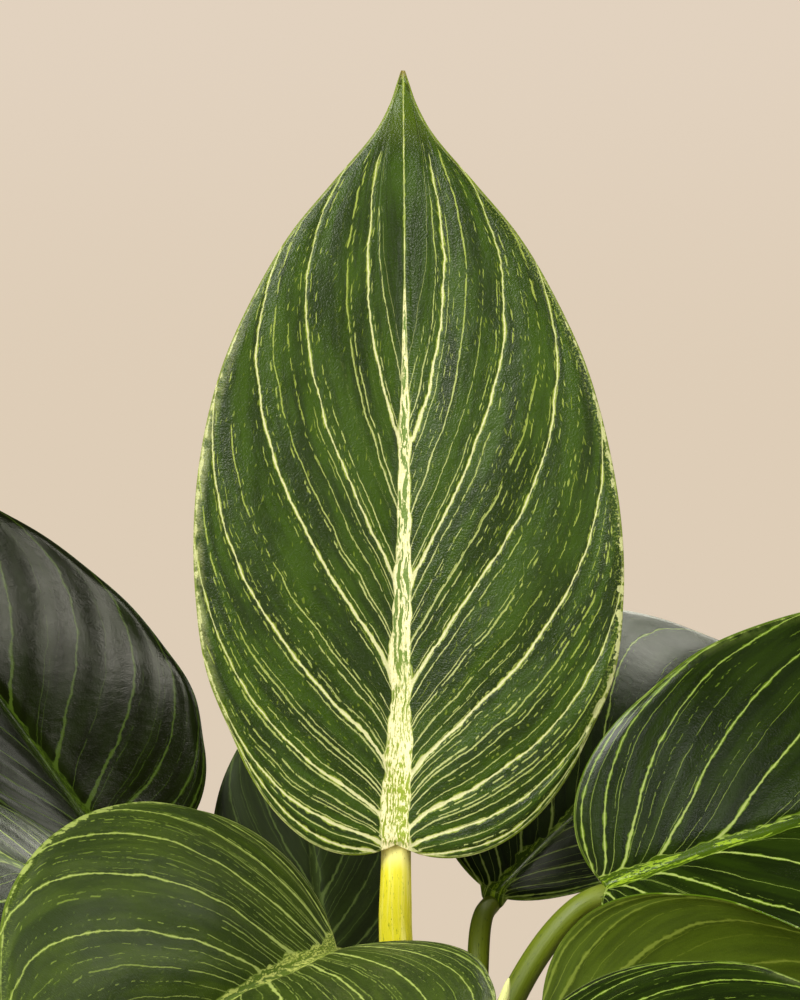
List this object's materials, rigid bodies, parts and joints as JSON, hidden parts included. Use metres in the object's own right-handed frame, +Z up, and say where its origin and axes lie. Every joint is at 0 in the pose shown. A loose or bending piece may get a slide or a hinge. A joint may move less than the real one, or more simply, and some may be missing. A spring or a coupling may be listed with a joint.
{
  "type": "potted birkin philodendron",
  "caption": "Potted leafy house plant: glossy heart-based leaves with fine cream stripes, on round stalks from a short stem, in a plain tapered pot of soil.",
  "frame": {"origin": "middle of the pot's flat underside", "axes": "+Z up along the pot's axis; the tallest leaf's upper face looks towards -Y"},
  "size_m": [0.3463, 0.3568, 0.3671],
  "materials": {
    "blade": "glossy",
    "stalk": "satin",
    "tall_stalk": "satin",
    "stem": "matte",
    "new_leaf": "satin",
    "soil": "matte",
    "pot": "matte"
  },
  "bodies": {
    "root": {"pot": "pot", "soil": "soil", "stem": "stem", "new_leaf": "new_leaf", "blade_01": "blade", "stalk_01": "tall_stalk", "blade_02": "blade", "stalk_02": "stalk", "blade_03": "blade", "stalk_03": "stalk", "blade_04": "blade", "stalk_04": "stalk", "blade_05": "blade", "stalk_05": "stalk", "blade_06": "blade", "stalk_06": "stalk", "blade_07": "blade", "stalk_07": "stalk", "blade_08": "blade", "stalk_08": "stalk", "blade_09": "blade", "stalk_09": "stalk", "blade_10": "blade", "stalk_10": "stalk", "blade_11": "blade", "stalk_11": "stalk", "blade_12": "blade", "stalk_12": "stalk", "blade_13": "blade", "stalk_13": "stalk", "blade_14": "blade", "stalk_14": "stalk"}
  },
  "joints": []
}
